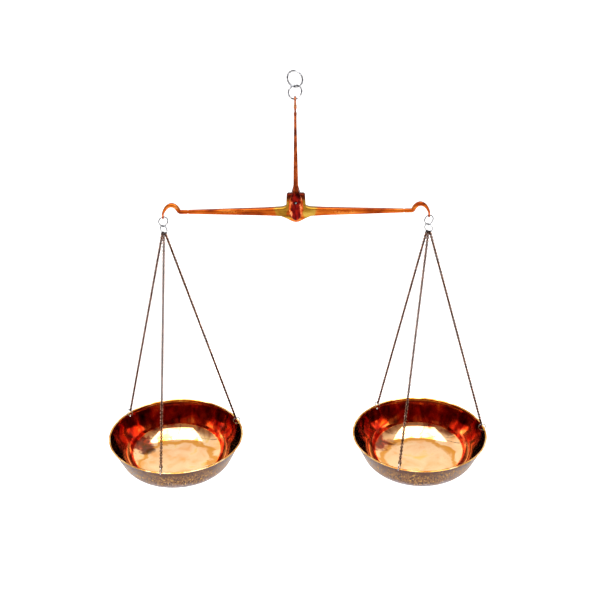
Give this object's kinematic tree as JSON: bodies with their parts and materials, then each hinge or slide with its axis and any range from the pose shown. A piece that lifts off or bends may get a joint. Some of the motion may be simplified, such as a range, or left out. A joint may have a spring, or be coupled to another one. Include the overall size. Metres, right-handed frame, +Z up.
{
  "type": "hand-held beam balance",
  "caption": "Brass hand-held weighing scale: an equal-arm beam rocks in a hanging fork and carries a round pan on chains at each end.",
  "frame": {"origin": "inside top of the top ring, where a hook or finger carries the balance", "axes": "+X along the beam, +Y to the back, +Z up"},
  "size_m": [0.3151, 0.112, 0.3414],
  "materials": {
    "cast_brass": "cast brass, filed and polished, warm orange",
    "turned_brass": "turned brass, darkened in its grooves",
    "spun_brass": "spun sheet brass, polished inside, dull and speckled outside",
    "chain_brass": "oxidised brass wire links",
    "steel_wire": "bright drawn steel wire",
    "fine_wire": "thin bright steel wire",
    "knife_steel": "ground hardened steel"
  },
  "bodies": {
    "holder": {"top_ring": "steel_wire"},
    "hanger": {"hanger_ring": "steel_wire"},
    "shears": {"shears_stem": "turned_brass", "front_tine": "cast_brass", "rear_tine": "cast_brass", "tine_rivet": "turned_brass"},
    "balance_beam": {"beam": "cast_brass", "knife_edge": "knife_steel", "pointer": "cast_brass"},
    "left_link": {"left_hook_link": "steel_wire"},
    "left_gather": {"left_gather_ring": "steel_wire"},
    "left_pan_set": {"left_pan": "spun_brass", "left_chain_right": "chain_brass", "left_chain_rear": "chain_brass", "left_chain_front": "chain_brass", "left_pan_ring_right": "fine_wire", "left_pan_ring_rear": "fine_wire", "left_pan_ring_front": "fine_wire"},
    "right_link": {"right_hook_link": "steel_wire"},
    "right_gather": {"right_gather_ring": "steel_wire"},
    "right_pan_set": {"right_pan": "spun_brass", "right_chain_right": "chain_brass", "right_chain_rear": "chain_brass", "right_chain_front": "chain_brass", "right_pan_ring_right": "fine_wire", "right_pan_ring_rear": "fine_wire", "right_pan_ring_front": "fine_wire"}
  },
  "joints": [
    {"name": "hanger_swing", "type": "hinge", "parent": "holder", "child": "hanger", "pos_m": [0, 0, -0.01145], "axis": [0.9063, -0.4226, 0], "range_deg": [-30, 30]},
    {"name": "shears_swing", "type": "hinge", "parent": "hanger", "child": "shears", "pos_m": [0, 0, -0.01917], "axis": [0, 1, 0], "range_deg": [-25, 25]},
    {"name": "beam_tilt", "type": "hinge", "parent": "shears", "child": "balance_beam", "pos_m": [0, 0, -0.10207], "axis": [0, 1, 0], "range_deg": [-15, 15]},
    {"name": "left_link_swing", "type": "hinge", "parent": "balance_beam", "child": "left_link", "pos_m": [-0.1015, 0, -0.11497], "axis": [0, 1, 0], "range_deg": [-15, 15]},
    {"name": "left_gather_swing", "type": "hinge", "parent": "left_link", "child": "left_gather", "pos_m": [-0.1015, 0, -0.12193], "axis": [0.9272, 0.3746, 0], "range_deg": [-20, 20]},
    {"name": "left_pan_swing", "type": "hinge", "parent": "left_gather", "child": "left_pan_set", "pos_m": [-0.1015, 0, -0.12434], "axis": [0.6157, 0.788, 0], "range_deg": [-14, 14]},
    {"name": "right_link_swing", "type": "hinge", "parent": "balance_beam", "child": "right_link", "pos_m": [0.1015, 0, -0.11497], "axis": [0, 1, 0], "range_deg": [-15, 15]},
    {"name": "right_gather_swing", "type": "hinge", "parent": "right_link", "child": "right_gather", "pos_m": [0.1015, 0, -0.12193], "axis": [0.9272, 0.3746, 0], "range_deg": [-20, 20]},
    {"name": "right_pan_swing", "type": "hinge", "parent": "right_gather", "child": "right_pan_set", "pos_m": [0.1015, 0, -0.12434], "axis": [0.6157, 0.788, 0], "range_deg": [-14, 14]}
  ],
  "couplings": [
    {"joint": "left_link_swing", "follows": "beam_tilt", "ratio": -1},
    {"joint": "right_link_swing", "follows": "beam_tilt", "ratio": -1}
  ]
}
